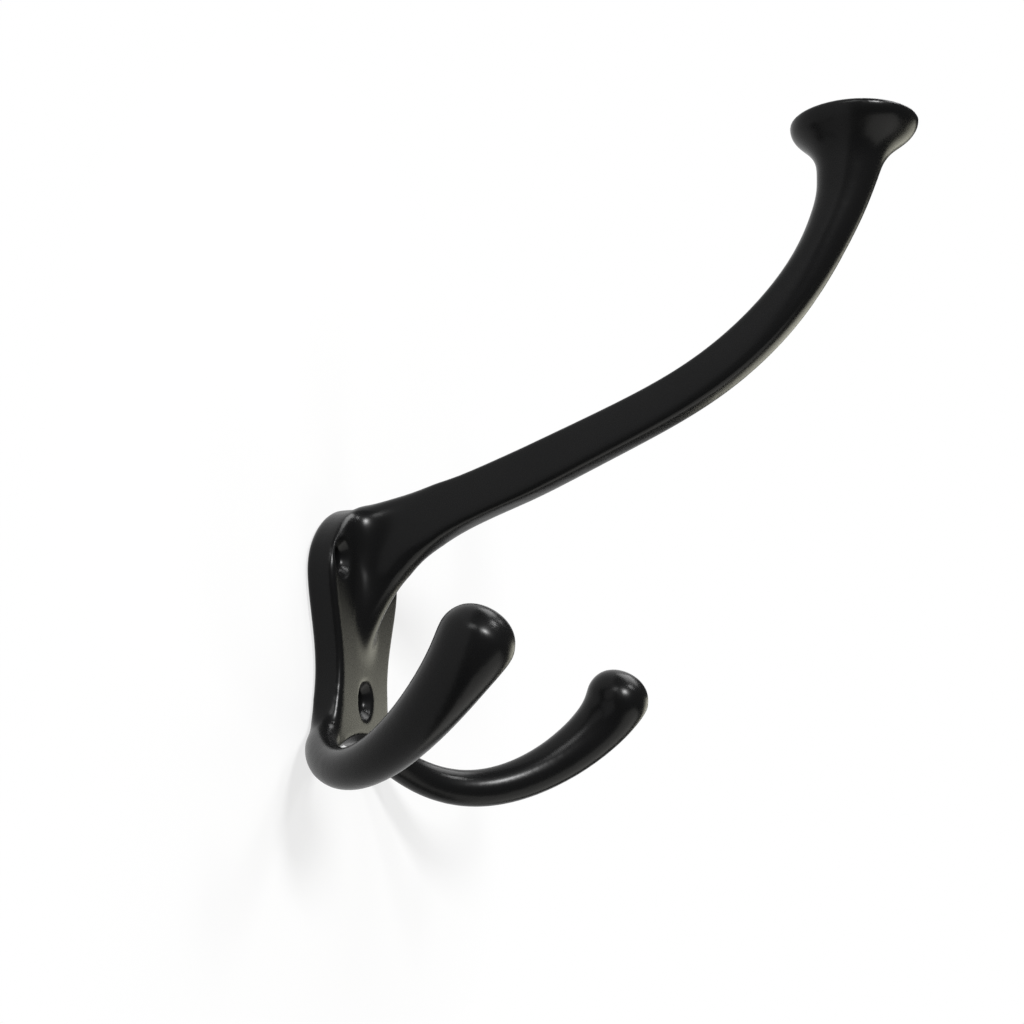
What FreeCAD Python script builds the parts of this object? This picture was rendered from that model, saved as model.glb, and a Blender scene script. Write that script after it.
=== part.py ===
import FreeCAD, Part
import math
import os

# Double robe hook: one casting of a waisted wall plate, one long upper arm with a knob and two lower arms
# Millimetres. The wall is the plane Y = 0, the hook stands out along -Y, up is +Z, the halves mirror in X = 0
# The origin is on the wall face, midway between the upper row of screws and the lower screw
V = FreeCAD.Vector

# Wall plate: half widths and heights of its hourglass outline, and the arch between the lower arms
PLATE_T = 5.3
PLATE_TOP = 21.8
PLATE_WIDE = 15.6
PLATE_WIDE_Z = 10.2
PLATE_CROWN = 1.75
PLATE_WAIST = 11.3
PLATE_WAIST_Z = -7.5
PLATE_FOOT = 13.0
PLATE_FOOT_Z = -17.0
PLATE_HEEL = 6.6
ARCH_HALF = 10.2
ARCH_Z = -18.8
ARCH_DROP = 2.5
FRONT_ROUND = 1.1
BACK_ROUND = 1.4
ARCH_BEVEL = 1.7

# Screw holes: countersunk for 3.5 mm flat-head screws
HOLE_PITCH_X = 22.6
HOLE_PITCH_Z = 23.0
HOLE_R = 2.0
SINK_R = 3.5

# Upper arm: how far out and how high the middle of the knob's rim is, and the poles of the arm's centre line
# in the plane X = 0, from the root to the knob, as shares of that reach and rise
ARM_REACH = 91.5
ARM_RISE = 82.6
ARM_LINE = [(0.2703, 0.278), (0.3457, 0.3077), (0.4287, 0.3462), (0.541, 0.3995), (0.7279, 0.4915),
            (0.8842, 0.6477), (0.965, 0.8111), (0.988, 0.8947), (1.0, 1.0)]
ARM_HALF_W = 3.4
ARM_HALF_H_ROOT = 4.2
ARM_HALF_H = 3.62
ARM_SQUARE = 4.4
NECK_R = 4.3

# Root of the upper arm: its top edge and the keel under it, as poles of (distance from the wall, Z)
ROOT_TOP = [(4.2, 22.2), (10.8, 23.8), (17.1, 25.1)]
ROOT_KEEL = [(4.2, -8.4), (7.7, 7.9), (15.3, 14.8)]
ROOT_SHOULDER = 9.0
SPREAD_TOP = 6.0
SPREAD_SIDE = 2.2
FADE_TOP = 2.4
FADE_SIDE = 1.3
SPREAD_BLEND = 0.85

# Knob: trumpet under a thin rim, with a low dome on top
KNOB_R = 10.65
KNOB_TILT = 0.3
TRUMPET = 3.5
TRUMPET_LIP = 2.4
NECK_SWELL = 1.75
NECK_SWELL_LONG = 9.6
KNOB_TOP = [(0.3, 1.0), (0.7, 0.982), (1.02, 0.93), (1.25, 0.81), (1.42, 0.58), (1.5, 0.32), (1.55, 0.03)]

# Lower arms: how far aside and out each tip is, and the left one's centre line from the plate to the tip
# as poles of (share of the spread, share of the reach, Z), after two points inside the plate
PRONG_SPREAD = 43.5
PRONG_REACH = 38.8
PRONG_LEAD = [(0.037, 0.054, -15.6), (0.133, 0.054, -17.7)]
PRONG_LEAD_R = 1.9
PRONG_LINE = [(0.194, 0.055, -19.39), (0.35, 0.069, -17.11), (0.627, 0.1676, -25.88),
              (0.698, 0.3872, -34.86), (1.062, 0.914, -15.62), (1.0, 1.0, -8.27)]
PRONG_RADII = [2.0, 3.6, 2.7, 5.93]
PRONG_FLARE = 3.8
PRONG_FADE = 1.3
PRONG_FLARE_TOP = 0.5
PRONG_DOME = 5.7
PRONG_DOME_SQUARE = 2.25

PLATE_AROUND = 36
ARM_AROUND = 16
PRONG_AROUND = 12


def bezier(poles, s):
    n = len(poles) - 1
    w = [math.comb(n, i) * s ** i * (1 - s) ** (n - i) for i in range(n + 1)]
    return [sum(a * p[k] for a, p in zip(w, poles)) for k in range(len(poles[0]))]


def ease(t):
    t = min(max(t, 0.0), 1.0)
    return t * t * (3 - 2 * t)


def mix(a, b, t):
    return a + (b - a) * t


def power(c, n):
    return math.copysign(abs(c) ** (2.0 / n), c)


def spline(points, closed=False):
    curve = Part.BSplineCurve()
    curve.interpolate(points, PeriodicFlag=closed)
    return curve


# Closed skin: one cubic surface through rows of points around the piece, with a flat cap at each end
# Each pole is its point moved out by a sixth of the bend there, so that the surface keeps the points' size
def skin(rows):
    around = len(rows[0])
    triples = zip(rows, rows[1:], rows[2:])
    inside = [[q - (a - q * 2 + b) / 6 for a, q, b in zip(*triple)] for triple in triples]
    rows = [rows[0]] + inside + [rows[-1]]
    rows = [[q - (row[k - 1] - q * 2 + row[(k + 1) % around]) / 6 for k, q in enumerate(row)] for row in rows]
    inner = len(rows) - 4
    surface = Part.BSplineSurface()
    surface.buildFromPolesMultsKnots(rows, [4] + [1] * inner + [4], [1] * (around + 1),
                                     list(range(inner + 2)), list(range(around + 1)), False, True, 3, 3)
    side = surface.toShape()
    ends = [surface.uIso(u).toShape() for u in (0, inner + 1)]
    caps = [Part.Face(Part.Wire(e)) for e in ends]
    shell = Part.makeShell([side] + caps)
    shell.sewShape()
    solid = Part.Solid(shell)
    if solid.Volume < 0:
        solid.reverse()
    return solid


# Wall plate: hourglass outline carried out from the wall, drawn in at its rounded edges and cut to the arch
def plate():
    crown = [math.radians(a) for a in (0, 20, 36, 52, 66, 79, 90)]
    right = [(PLATE_WIDE * power(math.sin(a), PLATE_CROWN),
              PLATE_WIDE_Z + (PLATE_TOP - PLATE_WIDE_Z) * power(math.cos(a), PLATE_CROWN)) for a in crown]
    for t in (0.3, 0.65, 1.0):
        right.append((mix(PLATE_WIDE, PLATE_WAIST, ease(t)), mix(PLATE_WIDE_Z, PLATE_WAIST_Z, t)))
    for t in (0.4, 0.7, 1.0):
        right.append((mix(PLATE_WAIST, PLATE_FOOT, t ** 1.6), mix(PLATE_WAIST_Z, PLATE_FOOT_Z, t)))
    foot = [math.radians(a) for a in (30, 60, 90)]
    right += [(PLATE_FOOT * math.cos(a), PLATE_FOOT_Z - PLATE_HEEL * math.sin(a)) for a in foot]
    left = [(-x, z) for x, z in reversed(right[1:-1])]
    outline = spline([V(x, 0, z) for x, z in right + left], closed=True)
    first, last = outline.FirstParameter, outline.LastParameter
    turns = [mix(first, last, i / PLATE_AROUND) for i in range(PLATE_AROUND)]
    edge = [outline.value(u) for u in turns]
    inward = [V(0, 1, 0).cross(outline.tangent(u)[0]) for u in turns]
    bends = [math.radians(a) for a in (0, 30, 60, 90)]
    levels = [(BACK_ROUND * (1 - math.cos(a)), BACK_ROUND * (1 - math.sin(a))) for a in bends]
    levels.append(((BACK_ROUND + PLATE_T - FRONT_ROUND) / 2, 0.0))
    for a in reversed(bends):
        levels.append((PLATE_T - FRONT_ROUND * (1 - math.cos(a)), FRONT_ROUND * (1 - math.sin(a))))
    rows = [[e + n * inset + V(0, -out, 0) for e, n in zip(edge, inward)] for out, inset in levels]
    slab = skin(rows)
    arch_r = (ARCH_HALF ** 2 + ARCH_DROP ** 2) / (2 * ARCH_DROP)
    centre = V(0, 1, ARCH_Z - arch_r)
    arch = Part.makeCylinder(arch_r, PLATE_T + 2, centre, V(0, -1, 0))
    centre.y = -(PLATE_T - ARCH_BEVEL)
    bevel = Part.makeCone(arch_r, arch_r + 2 * ARCH_BEVEL, 2 * ARCH_BEVEL, centre, V(0, -1, 0))
    return slab.cut([arch, bevel])


# Root of the upper arm: sections that start as wide as the plate's top and close in to the arm
def root_section(line, t):
    end = line.value(0)
    up = V(1, 0, 0).cross(line.tangent(0)[0]) * -ARM_HALF_H_ROOT
    top = bezier(ROOT_TOP + [(-end.y - up.y, end.z + up.z)], t)
    keel = bezier(ROOT_KEEL + [(-end.y + up.y, end.z - up.z)], t)
    up = V(0, -(top[0] - keel[0]), top[1] - keel[1])
    tall = up.Length
    up.normalize()
    above = mix(ROOT_SHOULDER, tall / 2, ease(1.25 * t))
    below = tall - above
    mid = V(0, -top[0], top[1]) - up * above
    n_top = mix(2.0, ARM_SQUARE, ease(2.2 * t))
    n_keel = mix(2.1, ARM_SQUARE, ease(1.6 * t))
    points = []
    for i in range(ARM_AROUND):
        a = 2 * math.pi * i / ARM_AROUND
        c, s = math.cos(a), math.sin(a)
        n = n_top if s > 0 else n_keel
        rise = power(s, n) * (above if s > 0 else below)
        p = mid + up * rise
        out = max(-p.y - PLATE_T, 0.0)
        high = ease((p.z - 13.0) / 7.0)
        fade = (out / mix(FADE_SIDE, FADE_TOP, high)) ** SPREAD_BLEND
        spread = mix(SPREAD_SIDE, SPREAD_TOP, high) * math.exp(-fade)
        points.append(p + V((ARM_HALF_W + spread) * power(c, n), 0, 0))
    return points


# Arm, neck and trumpet: sections square to the centre line
def arm_line():
    poles = [V(0, -ARM_REACH * out, ARM_RISE * high) for out, high in ARM_LINE]
    inner = len(poles) - 4
    knots = [i / (inner + 1) for i in range(inner + 2)]
    line = Part.BSplineCurve()
    line.buildFromPolesMultsKnots(poles, [4] + [1] * inner + [4], knots, False, 3)
    return line


def arm_section(line, s):
    mid = line.value(s)
    left = line.length(s, 1.0) if s < 1 else 0.0
    lean = math.radians(KNOB_TILT)
    level = ease((16.0 - left) / 12.0)
    along = line.tangent(s)[0] * (1 - level) + V(0, -math.sin(lean), math.cos(lean)) * level
    along.normalize()
    up = V(1, 0, 0).cross(along) * -1
    n = mix(ARM_SQUARE, 2.0, ease((s - 0.45) / 0.35))
    swell = NECK_SWELL * math.exp(-(left / NECK_SWELL_LONG) ** 3)
    flare = (KNOB_R - NECK_R - NECK_SWELL) * math.exp(-(left / TRUMPET) ** TRUMPET_LIP) + swell
    h = mix(ARM_HALF_H_ROOT, ARM_HALF_H, ease(s / 0.5))
    h = mix(h, NECK_R, ease((s - 0.72) / 0.2)) + flare
    w = mix(ARM_HALF_W, NECK_R, ease((s - 0.5) / 0.42)) + flare
    points = []
    for i in range(ARM_AROUND):
        a = 2 * math.pi * i / ARM_AROUND
        points.append(mid + V(w * power(math.cos(a), n), 0, 0) + up * (h * power(math.sin(a), n)))
    return points


# Top of the knob: the rim turns over a small round into a low dome
def knob_section(line, rise, r):
    lean = math.radians(KNOB_TILT)
    along = V(0, -math.sin(lean), math.cos(lean))
    up = V(1, 0, 0).cross(along) * -1
    mid = line.value(1.0) + along * rise
    turn = [2 * math.pi * i / ARM_AROUND for i in range(ARM_AROUND)]
    return [mid + V(r * math.cos(a), 0, 0) + up * (r * math.sin(a)) for a in turn]


def upper_arm():
    line = arm_line()
    rows = [root_section(line, t) for t in (0.0, 0.04, 0.08, 0.13, 0.19, 0.27, 0.37, 0.49, 0.63, 0.8)]
    rows += [arm_section(line, i / 14) for i in range(13)]
    rows += [arm_section(line, s) for s in (0.9, 0.93, 0.955, 0.975, 0.99)]
    rows += [knob_section(line, rise, KNOB_R * r) for rise, r in KNOB_TOP]
    return skin(rows)


# Lower arm: round sections, drawn up into the plate's side at the root and thickening to a domed end
def prong():
    steps = (0.06, 0.08, 0.1, 0.12, 0.145, 0.18, 0.23, 0.3, 0.38, 0.47, 0.56, 0.65, 0.74, 0.83, 0.92, 1.0)
    points = PRONG_LEAD + [bezier(PRONG_LINE, s) for s in steps]
    mids = [V(-PRONG_SPREAD * aside, -PRONG_REACH * out, z) for aside, out, z in points]
    radii = [PRONG_LEAD_R] * len(PRONG_LEAD)
    radii += [bezier([(r,) for r in PRONG_RADII], s)[0] for s in steps]
    lifts = [PRONG_FLARE * math.exp(-max(-m.x - PLATE_WAIST, 0.0) / PRONG_FADE) for m in mids]
    line = spline(mids)
    ways = [line.tangent(line.parameter(m))[0] for m in mids]
    end, way, r_end = mids[-1], ways[-1], radii[-1]
    for a in (18, 36, 54, 72, 86):
        a = math.radians(a)
        mids.append(end + way * (PRONG_DOME * power(math.sin(a), PRONG_DOME_SQUARE)))
        ways.append(way)
        radii.append(r_end * power(math.cos(a), PRONG_DOME_SQUARE))
        lifts.append(0.0)
    rows = []
    side = V(0, 0, 1)
    turn = [2 * math.pi * i / PRONG_AROUND for i in range(PRONG_AROUND)]
    for mid, way, r, lift in zip(mids, ways, radii, lifts):
        side = side - way * side.dot(way)
        side.normalize()
        other = way.cross(side)
        high = [r * math.cos(a) + lift * max(math.cos(a), 0.0) ** PRONG_FLARE_TOP for a in turn]
        rows.append([mid + side * h + other * (r * math.sin(a)) for h, a in zip(high, turn)])
    return skin(rows)


def screw_hole(x, z):
    sink_deep = SINK_R - HOLE_R
    bore = Part.makeCylinder(HOLE_R, PLATE_T + 6, V(x, 1, z), V(0, -1, 0))
    sink = Part.makeCone(HOLE_R, SINK_R, sink_deep, V(x, -(PLATE_T - sink_deep), z), V(0, -1, 0))
    clear = Part.makeCylinder(SINK_R, 3.5, V(x, -PLATE_T, z), V(0, -1, 0))
    return bore.fuse([sink, clear])


def build():
    left = prong()
    right = left.mirror(V(0, 0, 0), V(1, 0, 0))
    body = plate().fuse([upper_arm(), left, right])
    behind = Part.makeBox(80, 20, 80, V(-40, 0, -40))
    body = body.cut(behind)
    holes = [screw_hole(s * HOLE_PITCH_X / 2, HOLE_PITCH_Z / 2) for s in (-1, 1)]
    holes.append(screw_hole(0, -HOLE_PITCH_Z / 2))
    body = body.cut(holes)
    return body.removeSplitter()


hook_casting = build()
box = hook_casting.BoundBox
print("valid", hook_casting.isValid(), "solids", len(hook_casting.Solids), "faces", len(hook_casting.Faces))
print("volume", round(hook_casting.Volume), "box", round(box.XLength), round(box.YLength), round(box.ZLength))
os.makedirs("parts", exist_ok=True)
hook_casting.exportStep("parts/hook_casting.step")
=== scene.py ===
# %% [markdown]
# A wall hook in satin black: one casting with a waisted plate, a long upper arm that ends in a knob, and two lower
# arms with thick tips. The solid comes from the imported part, so it is loaded first and its box is kept. Everything
# after this is looks: the skin of the casting, its paint, the wall it hangs on, the lamps and the camera.

# %% Load the part
import math

import bmesh
import bpy
import numpy as np
from mathutils import Matrix, Vector


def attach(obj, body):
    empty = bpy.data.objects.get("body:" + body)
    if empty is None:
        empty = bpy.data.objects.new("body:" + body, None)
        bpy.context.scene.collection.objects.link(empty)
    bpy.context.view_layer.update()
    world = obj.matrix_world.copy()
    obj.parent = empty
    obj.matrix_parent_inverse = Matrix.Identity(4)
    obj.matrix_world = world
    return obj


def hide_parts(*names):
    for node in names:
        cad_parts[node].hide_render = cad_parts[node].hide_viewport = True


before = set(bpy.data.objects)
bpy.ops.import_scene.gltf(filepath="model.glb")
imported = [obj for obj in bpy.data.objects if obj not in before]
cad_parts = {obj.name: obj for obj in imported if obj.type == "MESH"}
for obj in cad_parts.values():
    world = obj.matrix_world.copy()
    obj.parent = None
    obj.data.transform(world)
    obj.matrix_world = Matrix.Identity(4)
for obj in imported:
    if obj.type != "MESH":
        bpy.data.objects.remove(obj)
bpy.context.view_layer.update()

MM = 0.001
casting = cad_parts["hook_casting"]

# %% [markdown]
# The skin of the casting. Metal poured in a mould leaves no sharp inside corners: the arms grow out of the plate in
# soft hollows. The solid has its arms simply joined to the plate, so its skin is made new: the solid's surface is
# divided into an even net of small faces, the net is laid back on the solid, and then metal is added only in the
# hollows that are too tight. Fillets on the solid's own joining edges were tried first and gave no valid solid.

# %% An even net over the solid
NET = 0.37 * MM
SAME_POINT = 0.001 * MM


def modified(source, name, kind, **settings):
    """A new mesh: the source with one modifier of that kind applied."""
    carrier = bpy.data.objects.new(name, source)
    bpy.context.scene.collection.objects.link(carrier)
    modifier = carrier.modifiers.new(kind.lower(), kind)
    for key, value in settings.items():
        setattr(modifier, key, value)
    made = bpy.data.meshes.new_from_object(carrier.evaluated_get(bpy.context.evaluated_depsgraph_get()))
    bpy.data.objects.remove(carrier)
    return made


merged = bmesh.new()
merged.from_mesh(casting.data)
bmesh.ops.remove_doubles(merged, verts=merged.verts, dist=SAME_POINT)
closed = bpy.data.meshes.new("closed_solid")
merged.to_mesh(closed)
merged.free()
net = modified(closed, "net", "REMESH", mode="VOXEL", voxel_size=NET)
net = modified(net, "laid_net", "SHRINKWRAP", target=casting, wrap_method="NEAREST_SURFACEPOINT")
print("net", len(net.vertices), "points")


# %% The net as arrays
def columns(mesh):
    """The points of a mesh as rows of x, y, z, and its edges as pairs of point numbers."""
    points = np.empty(len(mesh.vertices) * 3)
    mesh.vertices.foreach_get("co", points)
    pairs = np.empty(len(mesh.edges) * 2, dtype=np.int64)
    mesh.edges.foreach_get("vertices", pairs)
    return points.reshape(-1, 3), pairs.reshape(-1, 2)


def neighbour_mean(points):
    """For each point, the mean place of the points that an edge joins it to: their sum over their number."""
    summed = [np.bincount(both_ways[:, 0], column[both_ways[:, 1]], len(points)) for column in points.T]
    return np.stack(summed, 1) / np.maximum(neighbours, 1)[:, None]


def outward(mesh, points):
    """Unit normals of the points, worked out again for where they are now."""
    mesh.vertices.foreach_set("co", points.ravel())
    mesh.update()
    normals = np.empty(len(points) * 3)
    mesh.vertex_normals.foreach_get("vector", normals)
    return normals.reshape(-1, 3)


points, pairs = columns(net)
both_ways = np.concatenate([pairs, pairs[:, ::-1]])
neighbours = np.bincount(pairs.ravel(), minlength=len(points))
print("joined by", len(pairs), "edges")

# %% [markdown]
# Regions of the casting. Each is a box with soft sides, given in millimetres: height over the middle of the plate,
# distance out from the wall, distance to the side of the mirror plane, and distance from the nearest screw's axis. Two
# numbers are where a region starts and where it is full; two more are where it fades and where it ends. Soft sides let
# one treatment run into the next without a step, as hand dressing does on a foundry pattern.

# %% Regions
SCREWS = [(-11.3, 11.5), (11.3, 11.5), (0.0, -11.5)]
KEEL = dict(z=(-12, -8), out=(4.0, 5.0))
ROOT = dict(z=(9, 16), out=(4.0, 5.0))
WEB = dict(side=(9.6, 11.0), z=(-26, -22, -9, -3))
SHOULDER = dict(z=(8, 14), out=(5.2, 6.4, 12, 19))
FOOT = dict(side=(9.2, 10.4, 14, 17), z=(-26, -22, -13, -10))
KEEL_SIDES = dict(z=(-14, -10, 8, 12), out=(4.6, 5.0), side=(-1, 0, 4.5, 6.0))
ARCH_BACK = dict(z=(-40, -39, -14, -12), side=(-1, 0, 15, 18), out=(-2, -1, 1.0, 2.2), screw=(3.0, 4.0))
OFF_THE_FITS = dict(screw=(3.5, 4.6), out=(0.3, 1.0))

x, y, z = points.T / MM
screw_gap = np.min([np.hypot(x - screw_x, z - screw_z) for screw_x, screw_z in SCREWS], axis=0)
measures = dict(z=z, out=-y, side=np.abs(x), screw=screw_gap)


def rise(value, low, high):
    """A smooth step: 0 below low, 1 above high, and three minus twice the share times its square between."""
    share = np.clip((value - low) / (high - low), 0, 1)
    return share * share * (3 - 2 * share)


def within(region):
    """How far each point is inside a region, from 0 to 1: the steps up and down of its measures, multiplied."""
    inside = 1.0
    for name, (start, full, *down) in region.items():
        inside = inside * rise(measures[name], start, full)
        if down:
            fade, end = down
            inside = inside * rise(-measures[name], -end, -fade)
    return inside


print("points near the webs", int((within(WEB) > 0.5).sum()))

# %% [markdown]
# Metal in the hollows. Where the net bends inwards more tightly than the radius its region allows, its points move out
# along their normals, a little at a time, until the hollow is as open as that. The countersinks and the wall face get
# no metal. The shoulders, the feet of the lower arms, the keel's sides and the back edge of the arch are then eased
# towards their neighbours, as sanding a pattern would, and the whole net is evened a little.

# %% Metal in the tight hollows
HOLLOW_R = 0.9 * MM
KEEL_HOLLOW_R = 1.4 * MM
ROOT_HOLLOW_R = 9.0 * MM
WEB_HOLLOW_R = 60.0 * MM
FILL_STEPS = 650
FILL_GAIN = 0.8
NORMALS_EVERY = 6
SOFT_STEPS = 90
SOFT_GAIN = 0.5
FOOT_SOFT = 0.15
KEEL_SOFT = 0.8
ARCH_SOFT = 0.15
EVEN_STEPS = 3
EVEN_GAIN = 0.4

tightness = np.full(len(points), 1 / HOLLOW_R)
for region, radius in ((KEEL, KEEL_HOLLOW_R), (ROOT, ROOT_HOLLOW_R), (WEB, WEB_HOLLOW_R)):
    tightness = tightness + within(region) * (1 / radius - tightness)
allowed = NET ** 2 / 4 * tightness
free = within(OFF_THE_FITS)
eased = free * np.max([within(SHOULDER), FOOT_SOFT * within(FOOT), KEEL_SOFT * within(KEEL_SIDES)], axis=0)
soften = np.maximum(eased, ARCH_SOFT * within(ARCH_BACK))[:, None]

start = points.copy()
for step in range(FILL_STEPS):
    if step % NORMALS_EVERY == 0:
        normals = outward(net, points)
    bend = neighbour_mean(points) - points
    hollow = np.clip((bend * normals).sum(1) - allowed, 0, None)
    points = points + normals * (FILL_GAIN * free * hollow)[:, None]
for step in range(SOFT_STEPS):
    points = points + SOFT_GAIN * soften * (neighbour_mean(points) - points)
for step in range(EVEN_STEPS):
    points = points + EVEN_GAIN * (neighbour_mean(points) - points)
outward(net, points)
print("surface moved by up to", round(np.linalg.norm(points - start, axis=1).max() / MM, 2), "mm")

# %% The skin takes the solid's place
skin = bpy.data.objects.new("hook_skin", net)
bpy.context.scene.collection.objects.link(skin)
net.polygons.foreach_set("use_smooth", np.ones(len(net.polygons), dtype=bool))
net.materials.clear()
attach(skin, "root")
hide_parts("hook_casting")
print("skin", len(net.polygons), "faces")

# %% [markdown]
# The paint. It is a satin black coat on cast metal: nearly no colour of its own, soft mirror-like streaks along the
# arms, and a very fine skin like the peel of an orange. Shader sums are written as Python by a small class that wraps
# a socket, so that each operator adds its own node.


# %% Sums on sockets
class Socket:
    """A shader socket on which Python operators work."""

    def __init__(self, tree, socket):
        self.tree = tree
        self.socket = socket

    def node(self, kind, settings=None, **inputs):
        """Any node: its settings are set first, then its sockets get values or links. Gives the first output."""
        made = self.tree.nodes.new(kind)
        for key, value in (settings or {}).items():
            setattr(made, key, value)
        for key, value in inputs.items():
            place = made.inputs[int(key[1:])] if key[0] == "_" else made.inputs[key.replace("_", " ")]
            if isinstance(value, Socket):
                self.tree.links.new(value.socket, place)
            else:
                place.default_value = value
        return Socket(self.tree, made.outputs[0])

    def output(self, name):
        """Another output of the node that this socket belongs to."""
        return Socket(self.tree, self.socket.node.outputs[name])

    def math(self, operation, other):
        """A Math node on this value and another."""
        return self.node("ShaderNodeMath", {"operation": operation}, _0=self, _1=other)

    def __add__(self, other):
        return self.math("ADD", other)

    def __mul__(self, other):
        return self.math("MULTIPLY", other)

    __radd__ = __add__
    __rmul__ = __mul__


def new_material(name):
    """An empty node material, its tree wrapped for sums, and its output's surface socket."""
    material = bpy.data.materials.new(name)
    material.use_nodes = True
    material.node_tree.nodes.clear()
    output = material.node_tree.nodes.new("ShaderNodeOutputMaterial")
    return material, Socket(material.node_tree, None), output.inputs["Surface"]


# %% Satin black paint
PAINT = (0.0030, 0.0031, 0.0032, 1.0)
PAINT_WORN = (0.0046, 0.0046, 0.0047, 1.0)
SPECULAR = 0.115
GLOSS = 0.27
DRIFT = 14 * MM
DRIFT_ROUGH = 0.06
PEEL = 0.9 * MM
PEEL_DEPTH = 0.02 * MM
PEEL_SHARE = 0.10
GRAIN_FINER = 5
GRAIN_ROUGH = 0.05
GRAIN_SHARE = 0.4

paint, tree, surface = new_material("satin_black_paint")
place = tree.node("ShaderNodeTexCoord").output("Object")
solid_noise = {"noise_dimensions": "3D"}
drift = tree.node("ShaderNodeTexNoise", solid_noise, Vector=place, Scale=1 / DRIFT, Detail=3.0)
peel = tree.node("ShaderNodeTexNoise", solid_noise, Vector=place, Scale=1 / PEEL, Detail=2.0)
grain = tree.node("ShaderNodeTexNoise", solid_noise, Vector=place, Scale=GRAIN_FINER / PEEL, Detail=1.0)
colour = tree.node("ShaderNodeMix", {"data_type": "RGBA"}, _0=drift, _6=PAINT, _7=PAINT_WORN).output(2)
rough = drift * DRIFT_ROUGH + grain * GRAIN_ROUGH + (GLOSS - (DRIFT_ROUGH + GRAIN_ROUGH) / 2)
bump = tree.node("ShaderNodeBump", Strength=PEEL_SHARE, Distance=PEEL_DEPTH, Height=peel + GRAIN_SHARE * grain)
coat = tree.node("ShaderNodeBsdfPrincipled", Base_Color=colour, Roughness=rough, Normal=bump,
                 Specular_IOR_Level=SPECULAR)
paint.node_tree.links.new(coat.socket, surface)
net.materials.append(paint)
print("paint", len(paint.node_tree.nodes), "nodes")

# %% [markdown]
# The wall. The hook stands on a plain white wall, which only catches its soft shadow. Seen from the room, the wall is
# white by its own light; near the hook a share of it is lit by the lamps instead, and that share keeps the shadow.
# Mirrored in the paint it is the same white. From behind it lets the camera through, so that the back of the hook can
# be looked at as well.

# %% White wall
WALL = 40.0
WALL_GAP = 0.2 * MM
WALL_OWN = 0.74
WALL_LIT = (0.53, 0.53, 0.53, 1.0)
WHITE = (1.0, 1.0, 1.0, 1.0)
LIT_TO = 0.045
LIT_OVER = 0.06

wall_mesh = bpy.data.meshes.new("wall")
corners = np.array([(-1, 0, -1), (1, 0, -1), (1, 0, 1), (-1, 0, 1)]) * WALL + (0, WALL_GAP, 0)
wall_mesh.from_pydata(corners.tolist(), [], [(0, 1, 2, 3)])
wall = bpy.data.objects.new("wall", wall_mesh)
bpy.context.scene.collection.objects.link(wall)

white, tree, surface = new_material("white_wall")
ray = tree.node("ShaderNodeLightPath")
seen = ray.output("Is Camera Ray") + ray.output("Is Glossy Ray") + ray.output("Is Transmission Ray")
place = tree.node("ShaderNodeTexCoord").output("Object")
reach = tree.node("ShaderNodeVectorMath", {"operation": "LENGTH"}, _0=place).output("Value")
far = tree.node("ShaderNodeMath", {"operation": "MULTIPLY_ADD", "use_clamp": True},
                _0=reach, _1=1 / LIT_OVER, _2=-LIT_TO / LIT_OVER)
lit = tree.node("ShaderNodeBsdfDiffuse", Color=WALL_LIT)
own = tree.node("ShaderNodeEmission", Color=WHITE, Strength=1.0)
front = tree.node("ShaderNodeMixShader", _0=seen * (far * (1 - WALL_OWN) + WALL_OWN), _1=lit, _2=own)
behind = tree.node("ShaderNodeNewGeometry").output("Backfacing")
through = tree.node("ShaderNodeBsdfTransparent")
both = tree.node("ShaderNodeMixShader", _0=behind, _1=front, _2=through)
white.node_tree.links.new(both.socket, surface)
wall_mesh.materials.append(white)
print("wall faces", [round(c, 2) for c in wall_mesh.polygons[0].normal])

# %% [markdown]
# The light. Black satin shows its lamps rather than its colour, so the lamps are soft boxes whose places are read from
# the streaks: a small strong one before and to the left of the hook, a dim one high at the left, one over the front,
# one low at the front for the undersides, a wide pale one at the right that the face of the plate mirrors, and a broad
# one high at the right for the tips. The world between them is a dim even grey.

# %% Soft boxes
AIM = Vector((0.0, -45 * MM, 20 * MM))
PALE = (1.0, 0.985, 0.94)
WARM = (1.0, 0.98, 0.82)
WORLD_GREY = 0.05


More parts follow.
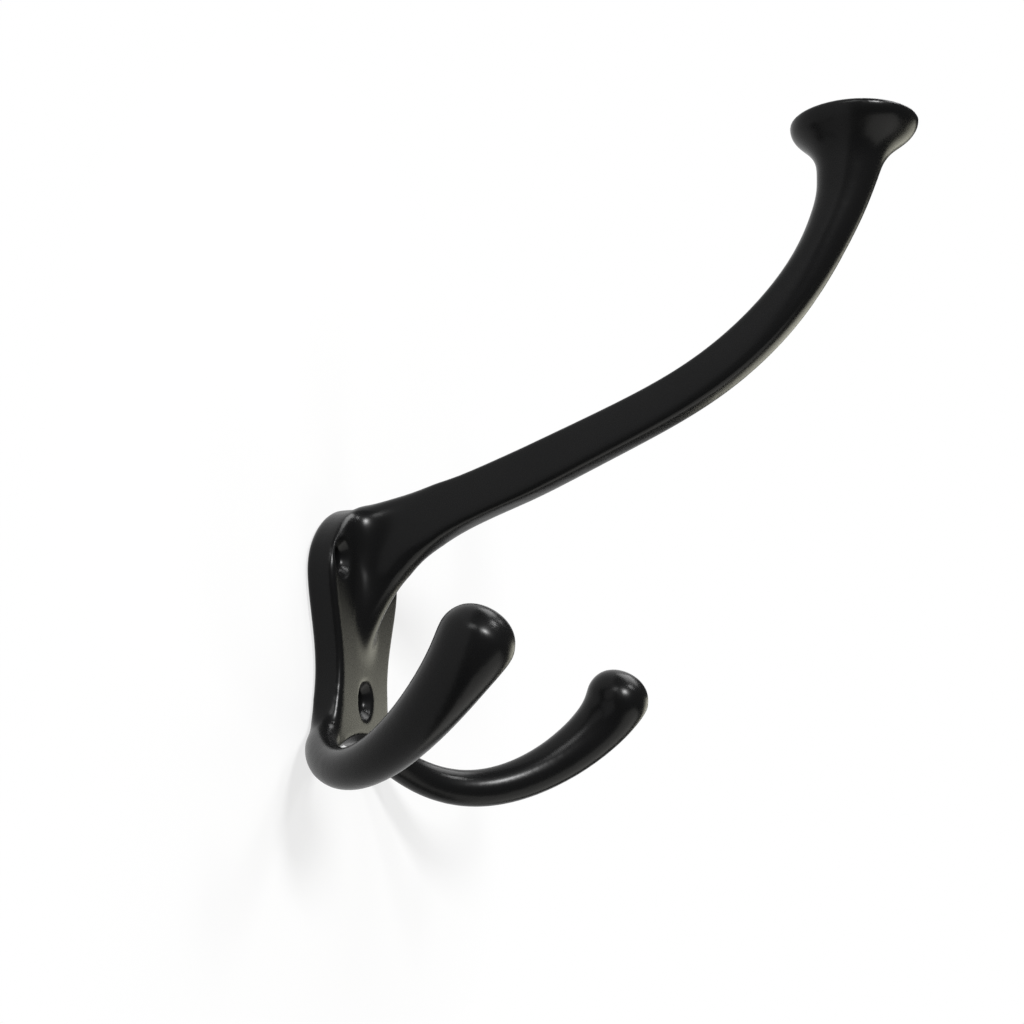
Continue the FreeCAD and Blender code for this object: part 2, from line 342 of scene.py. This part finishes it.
def soft_box(name, azimuth, elevation, distance, width, height, power, tint=WHITE[:3]):
    """A rectangular lamp that looks at the hook from that azimuth and elevation, in degrees, as for the views. Its
    distance, width and height are in metres and its power is in watts."""
    a, e = math.radians(azimuth), math.radians(elevation)
    away = Vector((math.sin(a) * math.cos(e), -math.cos(a) * math.cos(e), math.sin(e)))
    lamp = bpy.data.lights.new(name, "AREA")
    lamp.shape = "RECTANGLE"
    lamp.size = width
    lamp.size_y = height
    lamp.energy = power
    lamp.color = tint
    holder = bpy.data.objects.new(name, lamp)
    holder.location = AIM + away * distance
    holder.rotation_mode = "QUATERNION"
    holder.rotation_quaternion = away.to_track_quat("Z", "Y")
    bpy.context.scene.collection.objects.link(holder)


soft_box("front_left_box", -42, 24, 1.2, 0.24, 0.24, 25.0)
soft_box("left_high_box", -84, 36, 1.2, 0.45, 0.30, 4.5)
soft_box("front_top_box", 2, 44, 1.2, 0.22, 0.20, 5.0)
soft_box("low_front_box", 34, -54, 1.2, 1.30, 0.90, 7.0, PALE)
soft_box("right_panel", 68, -5, 1.6, 0.90, 0.60, 4.2, WARM)
soft_box("right_high_box", 60, 52, 1.6, 1.00, 0.80, 13.0)

world = bpy.data.worlds.new("studio")
bpy.context.scene.world = world
world.use_nodes = True
world.node_tree.nodes["Background"].inputs["Color"].default_value = WHITE
world.node_tree.nodes["Background"].inputs["Strength"].default_value = WORLD_GREY
print("lamps", len(bpy.data.lights))

# %% [markdown]
# The camera. It stands low at the left of the hook and looks up a little, so that the knob shows its underside and the
# plate its side wall. Its place and directions were solved from the outline of the hook, and are kept as real sizes.

# %% Camera
EYE = Vector((-304.65, -123.45, -43.70)) * MM
LOOK = Vector((0.93864, 0.28354, 0.19638))
UP = Vector((-0.18824, -0.05596, 0.98053))
LENS = 66.80
SENSOR = 36.0
NEAREST = 0.01

camera_data = bpy.data.cameras.new("low_left")
camera_data.sensor_width = SENSOR
camera_data.lens = LENS
camera_data.clip_start = NEAREST
camera = bpy.data.objects.new("low_left", camera_data)
bpy.context.scene.collection.objects.link(camera)
right = LOOK.cross(UP).normalized()
above = right.cross(LOOK).normalized()
camera.matrix_world = Matrix((
    (right.x, above.x, -LOOK.x, EYE.x),
    (right.y, above.y, -LOOK.y, EYE.y),
    (right.z, above.z, -LOOK.z, EYE.z),
    (0.0, 0.0, 0.0, 1.0)))
bpy.context.scene.camera = camera
bpy.context.scene.view_settings.view_transform = "Standard"
print("camera", round((EYE - AIM).length, 3), "m from the hook")
